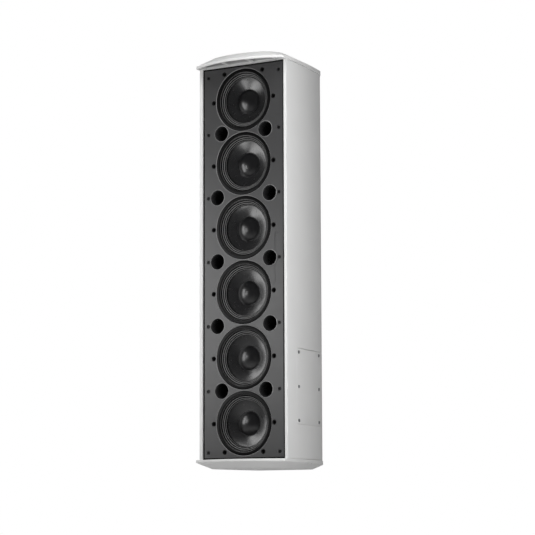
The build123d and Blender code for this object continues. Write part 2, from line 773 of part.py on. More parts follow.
def crossover_parts():
    d = BOARD[3]
    parts = []
    for x in (8.0, 44.0):
        z = 285.0
        bobbin = rod(16, x, z, d - 2, d) + rod(16, x, z, d - 18, d - 16) + rod(6, x, z, d - 18, d)
        parts += [bobbin, tube(14.5, 6, x, z, d - 16, d - 2)]
    for x, z, r, length in ((-6.0, 324.0, 9.5, 40.0), (42.0, 324.0, 8.0, 34.0)):
        can = Pos(x, y(d - r), z) * Rot(Y=90) * Cylinder(r, length)
        parts.append(can)
    for z in (272.0, 284.0):
        parts.append(box(-56, -34, d - 9, d, z - 4.5, z + 4.5))
    return parts


def wire(points, r):
    """A round lead through (x, depth, z) points, with rounded joints."""
    places = [Vector(px, y(pd), pz) for px, pd, pz in points]
    lead = None
    for a, b in zip(places, places[1:]):
        run = b - a
        middle = Plane(origin=(a + b) * 0.5, z_dir=run)
        rod_part = middle * Cylinder(r, run.length)
        lead = rod_part if lead is None else lead + rod_part
    for p in places[1:-1]:
        lead += Pos(p) * Sphere(r)
    return lead


def wiring_harness():
    trunk_x, trunk_d = -70.0, 150.0
    harness = wire([(trunk_x, trunk_d, DRIVER_Z[0]), (trunk_x, trunk_d, DRIVER_Z[-1])], 3.0)
    for z in DRIVER_Z:
        harness += wire([(trunk_x, trunk_d, z), (trunk_x, 56, z), (-52, 56, z)], 2.0)
        harness += Pos(trunk_x, y(trunk_d), z) * Sphere(3.0)
    harness += wire([(trunk_x, trunk_d, 318), (-58, 190, 318), (-58, BOARD[3], 318)], 2.0)
    cup_back = cup_floor() - CUP_WALL
    feed = [(-24, cup_back, 226), (-24, 190, 226), (-24, 190, 304), (-24, BOARD[3], 304)]
    return [harness, wire(feed, 2.0)]


# ---------------------------------------------------------------- the pieces
def build():
    os.makedirs("parts", exist_ok=True)
    save(cabinet_shell(), "cabinet_shell")
    save(shelf_braces(), "shelf_braces")
    bottom = bottom_cap_shape()
    save(bottom, "bottom_cap")
    save(over_mid(bottom), "top_cap")
    save(cap_screws(), "cap_screws")
    save(front_baffle(), "front_baffle")
    save(baffle_gasket(), "baffle_gasket")
    save(baffle_screws(), "baffle_screws")
    save(port_tubes(), "port_tubes")
    save(grille_sockets(), "grille_sockets")

    per_driver = {
        "cone": cone(),
        "dust_cap": dust_cap(),
        "voice_coil": voice_coil(),
        "surround": surround(),
        "spider": spider(),
        "basket": basket(),
    }
    for i, z in enumerate(DRIVER_Z, start=1):
        for name, shape in per_driver.items():
            save(Pos(0, 0, z) * shape, f"{name}_{i}")
    shared = {
        "trim_rings": trim_ring(),
        "driver_top_plates": top_plate(),
        "driver_magnets": magnet(),
        "driver_yokes": yoke(),
    }
    for name, shape in shared.items():
        save([Pos(0, 0, z) * shape for z in DRIVER_Z], name)
    screw_places = [p for z in DRIVER_Z for p in frame_screw_places(z)]
    save([frame_screw(*p) for p in screw_places], "driver_screws")

    save(side_cover_plate(), "side_cover_plate")
    save(side_cover_screws(), "side_cover_screws")
    save(input_cup(), "input_cup")
    save(terminal_strip(), "terminal_strip")
    save(cup_screws() + terminal_screws(), "input_screws")
    save(rigging_inserts(), "rigging_inserts")
    save(crossover_board(), "crossover_board")
    save(crossover_parts(), "crossover_parts")
    save(wiring_harness(), "wiring_harness")


build()
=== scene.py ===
"""Looks for the line array column loudspeaker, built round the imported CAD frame.

Lengths are in mm and scaled by MM. Depths are counted backwards from the baffle's front face.
"""

import math
import random

import bmesh
import bpy
import numpy as np
from mathutils import Matrix, Vector
from mathutils.geometry import delaunay_2d_cdt


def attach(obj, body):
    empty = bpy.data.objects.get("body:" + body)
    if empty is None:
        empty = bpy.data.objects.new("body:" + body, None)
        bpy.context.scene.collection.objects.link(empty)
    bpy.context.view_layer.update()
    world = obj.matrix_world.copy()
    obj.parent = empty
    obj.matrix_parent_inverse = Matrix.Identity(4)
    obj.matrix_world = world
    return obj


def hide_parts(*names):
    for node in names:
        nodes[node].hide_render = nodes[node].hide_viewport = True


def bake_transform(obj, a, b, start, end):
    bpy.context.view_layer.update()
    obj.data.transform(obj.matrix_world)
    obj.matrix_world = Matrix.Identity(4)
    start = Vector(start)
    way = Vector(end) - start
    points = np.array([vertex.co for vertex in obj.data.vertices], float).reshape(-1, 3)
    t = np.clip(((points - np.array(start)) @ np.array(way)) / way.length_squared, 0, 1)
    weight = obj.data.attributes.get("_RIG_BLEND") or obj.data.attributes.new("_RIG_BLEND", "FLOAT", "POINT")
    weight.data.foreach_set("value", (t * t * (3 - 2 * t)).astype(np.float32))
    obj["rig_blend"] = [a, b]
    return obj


MM = 0.001
random.seed(7)

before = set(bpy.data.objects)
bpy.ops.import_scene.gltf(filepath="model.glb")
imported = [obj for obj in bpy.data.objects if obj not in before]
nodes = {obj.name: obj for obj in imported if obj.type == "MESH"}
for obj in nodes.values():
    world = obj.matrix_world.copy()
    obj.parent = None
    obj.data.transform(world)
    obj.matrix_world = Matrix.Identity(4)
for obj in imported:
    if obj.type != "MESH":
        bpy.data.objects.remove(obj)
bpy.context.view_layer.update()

# ---------------------------------------------------------------- measures, as in the CAD part
COLUMN_H = 1057.0
MID_Z = COLUMN_H / 2
BAFFLE_Y = -88.75
BODY_D = 232.0  # baffle front to cabinet back
FRONT_PROUD = 4.0  # the casing's front edges stand this far before the baffle
SIDE_BOW = ((130.5, -4.0), (125.5, 98.0), (110.4, 196.0))  # three (x, depth) points of the side
BACK_CORNER_R = 34.0
WALL = 8.0
PANEL_T = 12.0
BATTEN = (100.0, 120.5, 15.0, 33.0)  # from x, to x, from depth, to depth
JOINT = 1.5  # height and depth of the shadow joint at each end

CAP_H = 22.5
SHELL_Z = (CAP_H, COLUMN_H - CAP_H)
NOSE = (132.0, 56.0, 19.0)  # half width, then how far mid width and the tips stand before the baffle
RIM_PROUD = 1.5  # how far the rim stands out from the casing
RIM_H = (6.0, 5.0)  # the rim's height at the nose, and what it gains by the back
RIBS = (-131.0, -105.0, -36.0, 36.0, 105.0, 131.0)
RIB_T = 3.5
POCKET_LIP = 4.5
POCKET_STEP = 14.5  # where the deeper step starts, from the rim
POCKET_H = (6.0, 12.0)
POCKET_BACK = -10.0
CAP_FLAT = (26.0, 33.0, 4.0, 55.0)  # moved in by, nose at mid width and at the tips, corner radius
CAP_SINK = (5.5, 5.0)  # radius and depth
CAP_SCREW_R = 2.6
CAP_SCREWS = [(-72.0, 30.0), (72.0, 30.0), (-60.0, 180.0), (60.0, 180.0)]
CAP_INSERTS = [(-55.0, 110.0), (55.0, 110.0)]
SLOTS = ((96.0, 22.0), (126.0, 9.0))  # middle depth and length
SLOT_Z = (12.0, 14.4)

DRIVER_PITCH = 166.0
DRIVER_Z = [MID_Z + (i - 2.5) * DRIVER_PITCH for i in range(6)]
PORT_Z = [z + DRIVER_PITCH / 2 for z in DRIVER_Z[:-1]]
PORTS = [(s * x, z) for x, z in zip((65.6, 78.0, 78.0, 78.0, 65.6), PORT_Z) for s in (-1, 1)]
SOCKETS = [(s * 89.5, z) for z in DRIVER_Z for s in (-1, 1)]
SOCKETS += [(s * 57.0, z) for z in (41.2, 1015.8) for s in (-1, 1)]
SCREWS = [(s * 105.6, z) for z in (40.5, *PORT_Z, 1010.5) for s in (-1, 1)]
BAFFLE_T = 15.0
BAFFLE_BOX = (-118.0, 118.0, 27.0, 1030.0)
REBATE_R = 81.8
CUTOUT_R = 74.0
PORT_R = 19.0
PORT_LIP_R = 21.0
SOCKET_R = 6.3
SINK_R = 4.8
SINK_D = 4.0
SCREW_WAY_R = 2.25
LABEL = (93.0, 113.0, 63.0, 0.7)  # from x, to x, half height, depth

CONE_NECK = (25.7, 28.3)  # radius and depth
CONE_EDGE = (56.6, 16.7)
CONE_BOW = 0.8
CONE_T = 0.87
SURROUND = ((71.2, 6.6), (59.4, 14.7))  # outer and inner ends of the rolls
ROLL_H = 1.75
DOME_R = 31.0
DOME_H = 14.0
DOME_T = 0.6
HEM_T = 0.4

COVER = (45.0, 194.0, 110.0, 300.0)  # from depth, to depth, from z, to z
COVER_T = 1.6
COVER_GAP = (0.4, 1.2)
COVER_GRID = [(d, z) for d in range(52, 192, 7) for z in range(115, 297, 20)]  # lets flat faces bow
COVER_SCREWS = [(d, z) for d in (55.0, 184.0) for z in (119.0, 204.0, 291.0)]
COVER_CORNER_R = 5.0
COVER_HOLE_R = 2.3
CUP_Z = 192.0
CUP_FLANGE = (57.0, 70.0)  # half width and half height, as for the next two
CUP_MOUTH = (48.0, 61.0)
CUP_BOWL = (45.0, 58.0)
CUP_PROUD = 0.5
CUP_SEAT = 2.0
CUP_FLOOR = 25.5
STRIP_SIZE = (38.0, 12.0)  # half width and half height
STRIP_H = (7.5, 13.0)  # the strip's height off the bowl's floor, and its ribs'
CUP_SCREWS = [(u, CUP_Z + v) for u in (-52.5, 52.5) for v in (-65.5, 0.0, 65.5)]
BACK_INSERTS = [(sx * 35.0, z + sz * 55.0) for z in (442.0, 774.0) for sx in (-1, 1) for sz in (-1, 1)]
INSERT_LEN = 18.0
INSERT_R = 6.0


def at(x, d, z):
    """A point from x, depth behind the baffle's front and height, all in mm."""
    return Vector((x * MM, (BAFFLE_Y + d) * MM, z * MM))


# ---------------------------------------------------------------- materials
def new_material(name):
    m = bpy.data.materials.new(name)
    m.use_nodes = True
    nt = m.node_tree
    return m, nt, nt.nodes["Principled BSDF"]


def noise(nt, scale, detail=2.0, rough=0.5, stretch=None):
    coords = nt.nodes.new("ShaderNodeTexCoord")
    tex = nt.nodes.new("ShaderNodeTexNoise")
    tex.inputs["Scale"].default_value = scale
    tex.inputs["Detail"].default_value = detail
    tex.inputs["Roughness"].default_value = rough
    if stretch:
        mapping = nt.nodes.new("ShaderNodeMapping")
        mapping.inputs["Scale"].default_value = stretch
        nt.links.new(coords.outputs["Object"], mapping.inputs["Vector"])
        nt.links.new(mapping.outputs["Vector"], tex.inputs["Vector"])
    else:
        nt.links.new(coords.outputs["Object"], tex.inputs["Vector"])
    return tex.outputs["Fac"]


def bump(nt, bsdf, height, distance, strength=1.0):
    b = nt.nodes.new("ShaderNodeBump")
    b.inputs["Strength"].default_value = strength
    b.inputs["Distance"].default_value = distance
    nt.links.new(height, b.inputs["Height"])
    nt.links.new(b.outputs["Normal"], bsdf.inputs["Normal"])


def spread(nt, value, low, high):
    """Maps noise, which mostly keeps to 0.3 to 0.7, onto low to high."""
    r = nt.nodes.new("ShaderNodeMapRange")
    r.inputs["From Min"].default_value = 0.3
    r.inputs["From Max"].default_value = 0.7
    r.inputs["To Min"].default_value = low
    r.inputs["To Max"].default_value = high
    nt.links.new(value, r.inputs["Value"])
    return r.outputs["Result"]


def tint(nt, bsdf, value, dark, light):
    mix = nt.nodes.new("ShaderNodeMix")
    mix.data_type = "RGBA"
    mix.inputs["A"].default_value = (*dark, 1)
    mix.inputs["B"].default_value = (*light, 1)
    nt.links.new(value, mix.inputs["Factor"])
    nt.links.new(mix.outputs["Result"], bsdf.inputs["Base Color"])


def surface(
    name, colour, rough, metal=0.0, grain=0.0, grain_size=1.0, vary=0.0, rough_vary=0.0, shine=0.5,
    painted_light_colour=None,
):
    """A plain surface with fine grain (depth and size in mm) and slight cloudiness.

    Where the mesh's stored mask is 1, the second colour is used instead: a painted highlight or painted shade.
    """
    m, nt, bsdf = new_material(name)
    bsdf.inputs["Metallic"].default_value = metal
    bsdf.inputs["Roughness"].default_value = rough
    bsdf.inputs["Base Color"].default_value = (*colour, 1)
    bsdf.inputs["Specular IOR Level"].default_value = shine
    if grain:
        bump(nt, bsdf, noise(nt, 1000 / grain_size, 2.0), grain * MM)
    if painted_light_colour:
        painted_light_here = nt.nodes.new("ShaderNodeAttribute")
        painted_light_here.attribute_name = "paint_light_mask"
        tint(nt, bsdf, painted_light_here.outputs["Fac"], colour, painted_light_colour)
    elif vary:
        cloud = noise(nt, 14.0, 3.0)
        dark = [c * (1 - vary) for c in colour]
        light = [min(1, c * (1 + vary)) for c in colour]
        tint(nt, bsdf, spread(nt, cloud, 0, 1), dark, light)
    if rough_vary:
        patch = noise(nt, 22.0, 4.0, 0.6)
        nt.links.new(spread(nt, patch, rough - rough_vary, rough + rough_vary), bsdf.inputs["Roughness"])
    return m


PAINT = surface(
    "casing_paint", (0.74, 0.74, 0.735), 0.36,
    grain=0.02, grain_size=1.6, vary=0.012, rough_vary=0.03,
)
# Its dark second colour is painted shade, laid into the pockets under the caps' noses.
CAP_PAINT = surface(
    "cap_paint", (0.74, 0.74, 0.735), 0.40,
    grain=0.02, grain_size=1.4, rough_vary=0.03, painted_light_colour=(0.05, 0.05, 0.05),
)
# Its lighter second colour is a painted highlight on the rounded edges of the driver openings.
BAFFLE_PAINT = surface(
    "baffle_paint", (0.045, 0.045, 0.046), 0.38,
    grain=0.03, grain_size=1.1, rough_vary=0.03, shine=0.8, painted_light_colour=(0.26, 0.26, 0.26),
)
FOAM = surface("gasket_foam", (0.006, 0.006, 0.006), 0.95, grain=0.25, grain_size=1.5)
RING = surface(
    "ring_plastic", (0.004, 0.004, 0.0042), 0.38,
    grain=0.03, grain_size=0.8, rough_vary=0.04, shine=0.15,
)
# Its lighter second colour is a painted highlight on the outer edge of each port's lip.
PORT = surface(
    "port_plastic", (0.014, 0.014, 0.0145), 0.25,
    grain=0.01, grain_size=1.0, rough_vary=0.03, shine=0.8, painted_light_colour=(0.30, 0.30, 0.30),
)
RUBBER = surface("socket_rubber", (0.005, 0.005, 0.005), 0.8, grain=0.03, grain_size=1.0)
# Its lighter second colour is a painted highlight along the crests of the surround's rolls.
CLOTH = surface(
    "surround_cloth", (0.002, 0.002, 0.0021), 0.25,
    shine=0.8, painted_light_colour=(0.13, 0.13, 0.13),
)
DOME = surface(
    "dome_gloss", (0.006, 0.006, 0.0065), 0.30,
    grain=0.01, grain_size=2.5, rough_vary=0.03, shine=0.9,
)
SPIDER = surface("spider_cloth", (0.42, 0.27, 0.09), 0.85, grain=0.12, grain_size=0.8, vary=0.1)
FRAME_PAINT = surface("basket_paint", (0.012, 0.012, 0.012), 0.45, grain=0.03, grain_size=0.9)
STEEL = surface(
    "plated_steel", (0.55, 0.56, 0.58), 0.32,
    metal=1.0, grain=0.004, grain_size=0.6, rough_vary=0.08,
)
DARK_ZINC = surface(
    "dark_zinc", (0.30, 0.30, 0.31), 0.30,
    metal=0.8, grain=0.004, grain_size=0.5, rough_vary=0.06,
)
BLACK_STEEL = surface(
    "black_oxide", (0.004, 0.004, 0.0042), 0.4,
    metal=0.2, grain=0.006, grain_size=0.5, rough_vary=0.08,
)
FERRITE = surface("ferrite", (0.03, 0.03, 0.032), 0.7, grain=0.06, grain_size=1.4, vary=0.1)
COPPER = surface("coil_winding", (0.55, 0.2, 0.07), 0.3, metal=1.0, grain=0.02, grain_size=0.4)
CUP = surface(
    "cup_plastic", (0.018, 0.018, 0.019), 0.55,
    grain=0.06, grain_size=0.9, rough_vary=0.05,
)
STRIP = surface("strip_plastic", (0.012, 0.012, 0.012), 0.4, grain=0.02, grain_size=0.9)
BOARD = surface("board_laminate", (0.03, 0.11, 0.045), 0.35, grain=0.02, grain_size=1.2, vary=0.1)
PARTS = surface("component_lacquer", (0.02, 0.02, 0.03), 0.3, grain=0.01, grain_size=1.5, vary=0.2)
LEAD = surface("lead_pvc", (0.16, 0.012, 0.01), 0.45, grain=0.01, grain_size=1.5)


def plywood():
    m, nt, bsdf = new_material("brace_plywood")
    bands = noise(nt, 9.0, 4.0, 0.6, stretch=(1.0, 14.0, 60.0))
    tint(nt, bsdf, spread(nt, bands, 0, 1), (0.30, 0.18, 0.08), (0.55, 0.38, 0.20))
    bsdf.inputs["Roughness"].default_value = 0.7
    bump(nt, bsdf, bands, 0.15 * MM)
    return m


def cone_coating():
    """Pressed pulp under a satin coat: fine fibre grain and faint cloudiness."""
    m, nt, bsdf = new_material("cone_coating")
    fibre = noise(nt, 420.0, 5.0, 0.7)
    tint(nt, bsdf, spread(nt, noise(nt, 60.0, 4.0), 0, 1), (0.009, 0.009, 0.0095), (0.013, 0.013, 0.0135))
    nt.links.new(spread(nt, noise(nt, 90.0, 3.0), 0.22, 0.28), bsdf.inputs["Roughness"])
    bsdf.inputs["Specular IOR Level"].default_value = 0.9
    bump(nt, bsdf, fibre, 0.06 * MM)
    return m


PLYWOOD = plywood()
CONE = cone_coating()


# ---------------------------------------------------------------- mesh helpers
# Shapes are drawn in two coordinates with a third, w, going into the part. A placing function maps them.
def on_baffle(u, v, w):
    return at(u, w, v)


def on_back(u, v, w):
    return at(u, BODY_D - w, v)


def on_base(u, v, w):
    return at(u, v, w)


def on_top(u, v, w):
    return at(u, v, COLUMN_H - w)


def side_circle():
    """Centre and radius of the right-hand side's bow, as x, depth and radius."""
    (x0, y0), (x1, y1), (x2, y2) = SIDE_BOW
    a, b, c, e = x1 - x0, y1 - y0, x2 - x0, y2 - y0
    f, g = a * (x0 + x1) + b * (y0 + y1), c * (x0 + x2) + e * (y0 + y2)
    h = 2 * (a * (y2 - y1) - b * (x2 - x1))
    cx, cd = (e * f - b * g) / h, (a * g - c * f) / h
    return cx, cd, math.hypot(x0 - cx, y0 - cd)


def on_side(u, v, w):
    cx, cd, radius = side_circle()
    t = math.asin((u - cd) / radius)
    r = radius - w
    return at(cx + r * math.cos(t), cd + r * math.sin(t), v)


def sharpen(mesh, angle):
    """Splits the shading at edges sharper than angle and keeps flat faces flat."""
    flat = [p.index for p in mesh.polygons if not p.use_smooth]
    mesh.set_sharp_from_angle(angle=math.radians(angle))
    for i in flat:
        mesh.polygons[i].use_smooth = False


def finish_mesh(name, bm, material, body="enclosure", replaces=(), sharp=38, blend=False):
    bmesh.ops.remove_doubles(bm, verts=bm.verts, dist=1e-6)
    bmesh.ops.recalc_face_normals(bm, faces=bm.faces)
    mesh = bpy.data.meshes.new(name)
    bm.to_mesh(mesh)
    bm.free()
    sharpen(mesh, sharp)
    obj = bpy.data.objects.new(name, mesh)
    bpy.context.scene.collection.objects.link(obj)
    mesh.materials.append(material)
    if not blend:
        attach(obj, body)
    if replaces:
        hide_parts(*replaces)
    return obj


def paint_light_mask(obj, rule):
    """Stores rule(x, depth, z), from 0 to 1, at each point of obj, as the mask where its material paints a
    highlight or shade.
    """
    data = obj.data.attributes.new("paint_light_mask", "FLOAT", "POINT").data
    for v in obj.data.vertices:
        data[v.index].value = min(1.0, max(0.0, rule(v.co.x / MM, v.co.y / MM - BAFFLE_Y, v.co.z / MM)))


def add_face(bm, corners, smooth=True):
    unique = list(dict.fromkeys(corners))
    if len(unique) > 2:
        bm.faces.new(unique).smooth = smooth


def revolve(bm, profile, u, v, n, place=on_baffle, closed=False):
    """Adds a surface of revolution about the line through (u, v), from (radius, w) points."""
    rings = []
    for r, w in profile:
        if r < 1e-6:
            rings.append([bm.verts.new(place(u, v, w))] * n)
        else:
            rings.append([bm.verts.new(place(pu, pv, w)) for pu, pv in circle(u, v, r, n)])
    pairs = list(zip(rings, rings[1:]))
    if closed:
        pairs.append((rings[-1], rings[0]))
    for a, b in pairs:
        for i in range(n):
            j = (i + 1) % n
            add_face(bm, (a[i], a[j], b[j], b[i]))


def rounded(points, radius, steps=4):
    """An open run of points with its inner corners rounded."""
    out = [points[0]]
    for a, b, c in zip(points, points[1:], points[2:]):
        va, vc = Vector(a) - Vector(b), Vector(c) - Vector(b)
        cut = min(radius, 0.45 * va.length, 0.45 * vc.length)
        p, q = Vector(b) + va.normalized() * cut, Vector(b) + vc.normalized() * cut
        for k in range(steps + 1):
            t = k / steps
            m = p * (1 - t) ** 2 + Vector(b) * 2 * t * (1 - t) + q * t**2
            out.append((m.x, m.y))
    out.append(points[-1])
    return out


def circle(u, v, r, n):
    return [(u + r * math.cos(2 * math.pi * i / n), v + r * math.sin(2 * math.pi * i / n)) for i in range(n)]


def within(points, loop):
    """Which of an array of points lie inside a loop."""
    inside = np.zeros(len(points), bool)
    for (u0, v0), (u1, v1) in zip(loop, loop[1:] + loop[:1]):
        if v0 == v1:
            continue
        spans = (points[:, 1] >= min(v0, v1)) & (points[:, 1] < max(v0, v1))
        cross = u0 + (points[:, 1] - v0) * (u1 - u0) / (v1 - v0)
        inside ^= spans & (points[:, 0] < cross)
    return inside


def flat_face(bm, loops, w, place=on_baffle, inner=(), smooth=False):
    """A face at one w, from an outer loop, the holes in it and any points inside it."""
    points, edges = [], []
    for loop in loops:
        first = len(points)
        points += loop
        edges += [(first + i, first + (i + 1) % len(loop)) for i in range(len(loop))]
    points += list(inner)
    verts, _, faces, _, _, _ = delaunay_2d_cdt([Vector(p) for p in points], edges, [], 0, 1e-5)
    centres = np.array([sum((verts[i] for i in f), Vector((0, 0))) / len(f) for f in faces])
    keep = within(centres, loops[0])
    for loop in loops[1:]:
        keep &= ~within(centres, loop)
    made = [bm.verts.new(place(p.x, p.y, w)) for p in verts]
    for f, kept in zip(faces, keep):
        if kept:
            add_face(bm, [made[i] for i in f], smooth)


def wall(bm, loops, place=on_baffle, smooth=True):
    """Bands between loops with the same number of points, given as (loop, w)."""
    rows = [[bm.verts.new(place(u, v, w)) for u, v in loop] for loop, w in loops]
    n = len(rows[0])
    for a, b in zip(rows, rows[1:]):
        for i in range(n):
            j = (i + 1) % n
            add_face(bm, (a[i], a[j], b[j], b[i]), smooth)


def rounded_rect(u0, u1, v0, v1, r, n=6):
    pts = []
    corners = ((u1 - r, v1 - r, 0), (u0 + r, v1 - r, 90), (u0 + r, v0 + r, 180), (u1 - r, v0 + r, 270))
    for cu, cv, start in corners:
        for k in range(n + 1):
            t = math.radians(start + 90 * k / n)
            pts.append((cu + r * math.cos(t), cv + r * math.sin(t)))
    return pts


def quarter(size, steps=5):
    """(sideways, deep) pairs of a quarter round, from the face's edge to the wall."""
    turns = [math.pi / 2 * k / steps for k in range(steps + 1)]
    return [(size - size * math.sin(t), size - size * math.cos(t)) for t in turns]


def hole(bm, u, v, r, soft, depth, n, start=0.0, tail=(), place=on_baffle):
    """A round hole with a rounded mouth in a face at w = start, then a tail of (radius, w) points."""
    profile = [(r + side, start + deep) for side, deep in quarter(soft)]
    revolve(bm, profile + [(r, depth)] + list(tail), u, v, n, place)


def plate(bm, make_loop, soft, thickness, start=0.0, place=on_baffle):
    """A plate's rounded front edge and its sides; make_loop gives the outline moved in by a distance."""
    loops = [(make_loop(side), start + deep) for side, deep in quarter(soft)]
    wall(bm, loops + [(make_loop(0), start + thickness)], place)


def add_box(bm, x0, x1, d0, d1, z0, z1):
    v = [bm.verts.new(at(x, d, z)) for x in (x0, x1) for d in (d0, d1) for z in (z0, z1)]
    for corners in ((0, 1, 3, 2), (4, 6, 7, 5), (0, 4, 5, 1), (2, 3, 7, 6), (0, 2, 6, 4), (1, 5, 7, 3)):
        add_face(bm, [v[i] for i in corners], False)


def soften(obj, edge, segments=2, angle=32):
    mod = obj.modifiers.new("soft_edges", "BEVEL")
    mod.width = edge * MM
    mod.segments = segments
    mod.limit_method = "ANGLE"
    mod.angle_limit = math.radians(angle)


# ---------------------------------------------------------------- cabinet
def arc(cu, cv, r, start, end, n):
    turns = [start + (end - start) * k / n for k in range(n + 1)]
    return [(cu + r * math.cos(t), cv + r * math.sin(t)) for t in turns]


def side_outline(inset, front=FRONT_PROUD, first=None, n=28):
    """(x, depth) points of the right-hand side, from its front edge round to the flat back."""
    cx, cd, bow_r = side_circle()
    r = bow_r - inset
    if first is None:
        first = math.asin((-front - cd) / r)
    end_x, end_d = SIDE_BOW[2]
    last = math.atan2(end_d - cd, end_x - cx)
    pts = arc(cx, cd, r, first, last, n)
    run = (-math.sin(last), math.cos(last))
    back = BODY_D - inset
    reach = (back - pts[-1][1]) / run[1]
    corner = (pts[-1][0] + run[0] * reach, back)
    bend = max(BACK_CORNER_R - inset, 4.0)
    trim = bend * math.tan(math.acos(-run[0]) / 2)
    flat_x = corner[0] - trim
    start = math.atan2(corner[1] - run[1] * trim - (back - bend), corner[0] - run[0] * trim - flat_x)
    return pts + arc(flat_x, back - bend, bend, start, math.pi / 2, 16)


def cup_rect(size, grow, r):
    """A rounded rectangle about the input cup's middle, grown from its half width and half height."""
    half_u, half_v = size[0] + grow, size[1] + grow
    return rounded_rect(-half_u, half_u, CUP_Z - half_v, CUP_Z + half_v, r)


def cabinet():
    bm = bmesh.new()
    z0, z1 = SHELL_Z
    x = side_outline(0)[-1][0]

    def section(inset):
        outer, inner = side_outline(inset, FRONT_PROUD - inset), side_outline(WALL)
        outer[-1], inner[-1] = (x, BODY_D - inset), (x, BODY_D - WALL)
        return rounded([inner[1], inner[0], outer[0], outer[1]], 1.1) + outer[2:] + inner[:1:-1]

    steps = [(JOINT, z0), (JOINT, z0 + JOINT), (0, z0 + JOINT)]
    steps += [(0, z1 - JOINT), (JOINT, z1 - JOINT), (JOINT, z1)]
    for s in (-1, 1):
        wall(bm, [([(s * u, d) for u, d in section(inset)], z) for inset, z in steps], on_base)
    for low, high, ledge in ((z0, z0 + JOINT, z0 + JOINT), (z1 - JOINT, z1, z1 - JOINT)):
        add_box(bm, -x, x, BODY_D - WALL, BODY_D - JOINT, low, high)
        corners = [(-x, BODY_D - JOINT), (x, BODY_D - JOINT), (x, BODY_D), (-x, BODY_D)]
        flat_face(bm, [corners], ledge, on_base)
    edge = [(x, z0 + JOINT), (x, z1 - JOINT), (-x, z1 - JOINT), (-x, z0 + JOINT)]
    seat, mouth = cup_rect(CUP_FLANGE, 0, 1.0), cup_rect(CUP_MOUTH, 0, 0.5)
    flat_face(bm, [edge, seat] + [circle(u, v, INSERT_R + 0.3, 40) for u, v in BACK_INSERTS], 0, on_back)
    flat_face(bm, [edge, mouth] + [circle(u, v, INSERT_R, 40) for u, v in BACK_INSERTS], WALL, on_back)
    flat_face(bm, [seat, mouth], CUP_SEAT, on_back)
    wall(bm, [(seat, 0), (seat, CUP_SEAT)], on_back)
    wall(bm, [(mouth, CUP_SEAT), (mouth, WALL)], on_back)
    for u, v in BACK_INSERTS:
        hole(bm, u, v, INSERT_R, 0.3, WALL, 40, place=on_back)
    panel = side_outline(WALL, -BAFFLE_T)
    panel[-1] = (x, BODY_D - WALL)
    panel += [(-u, v) for u, v in reversed(panel)]
    for low, high in ((z0, z0 + PANEL_T), (z1 - PANEL_T, z1)):
        wall(bm, [(panel, low), (panel, high)], on_base)
        flat_face(bm, [panel], low, on_base)
        flat_face(bm, [panel], high, on_base)
    near, far, d0, d1 = BATTEN
    for x0, x1 in ((-far, -near), (near, far)):
        add_box(bm, x0, x1, d0, d1, z0 + PANEL_T, z1 - PANEL_T)
    shell = finish_mesh("cabinet_look", bm, PAINT, replaces=("cabinet_shell",), sharp=30)
    bm = bmesh.new()
    d0, d1, low, high = COVER
    side_gap, end_gap = COVER_GAP
    recess = rounded_rect(d0 - side_gap, d1 + side_gap, low - end_gap, high + end_gap, COVER_CORNER_R, 8)
    for w in (-3.0, COVER_T):
        flat_face(bm, [recess], w, on_side, COVER_GRID)
    wall(bm, [(recess, -3.0), (recess, COVER_T)], on_side)
    cut_away(shell, bm, 30)


# ---------------------------------------------------------------- end caps
def nose_circle(tip, mid, end):
    """The bowed nose's centre depth and radius, through mid width and two tips."""
    sag = mid - end
    radius = (tip**2 + sag**2) / (2 * sag)
    return radius - mid, radius


def cap_outline(inset, mid, end, corner, n=40):
    """An end cap's plan: a bowed nose, rounded front corners, the sides and the back."""
    cx, cd, bow_r = side_circle()
    r = bow_r - inset
    tip = cx + math.sqrt(r**2 - (end + cd) ** 2)
    nd, nr = nose_circle(tip, mid, end)
    gap = math.hypot(cx, cd - nd)
    eu, ev = cx / gap, (cd - nd) / gap
    a = ((nr - corner) ** 2 - (r - corner) ** 2 + gap**2) / (2 * gap)
    h = math.sqrt((nr - corner) ** 2 - a**2)
    fu, fd = min(
        ((eu * a + s * ev * h, nd + ev * a - s * eu * h) for s in (-1, 1)),
        key=lambda c: math.hypot(c[0] - tip, c[1] + end),
    )
    on_nose = math.atan2(fd - nd, fu)
    on_bow = math.atan2(fd - cd, fu - cx)
    right = arc(0, nd, nr, -math.pi / 2, on_nose, n)[1:]
    right += arc(fu, fd, corner, on_nose, on_bow, 16)[1:]
    right += side_outline(inset, first=on_bow, n=n)[1:]
    return [(0, -mid)] + right + [(-u, v) for u, v in reversed(right)]


def bend_between(a, b, c, steps=4):
    """Points of a smooth turn from a to c that heads for b."""
    turns = [k / steps for k in range(steps + 1)]
    return [a * (1 - t) ** 2 + b * 2 * t * (1 - t) + c * t**2 for t in turns]


def cap_profile(flat_in, flat, rim, rim_in):
    """Points (u, v, w) down a cap's edge at one place: flat, bevel, rim and the face below it."""
    fold = CAP_H - RIM_H[0] - RIM_H[1] * (rim[1] + NOSE[1]) / (NOSE[1] + BODY_D + RIM_PROUD)
    inner, edge = Vector((*flat_in, 0)), Vector((*flat, 0))
    crest, foot = Vector((*rim, fold)), Vector((*rim, CAP_H))
    down, drop = (crest - edge).normalized(), Vector((0, 0, 1))
    line = bend_between(inner, edge, edge + down * 0.9)
    line += bend_between(crest - down * 1.4, crest, crest + drop * 1.4)
    return line + bend_between(foot - drop * 0.6, foot, Vector((*rim_in, CAP_H)), 3)


def nose_line(x0, x1, inset):
    """Points along the bowed nose between two places across it, moved in from the rim."""
    tip = NOSE[0] - inset
    nd, nr = nose_circle(*(length - inset for length in NOSE))
    left, right = max(x0, -tip), min(x1, tip)
    us = [left + (right - left) * k / 16 for k in range(17)]
    return [(u, nd - math.sqrt(nr**2 - u**2)) for u in us]


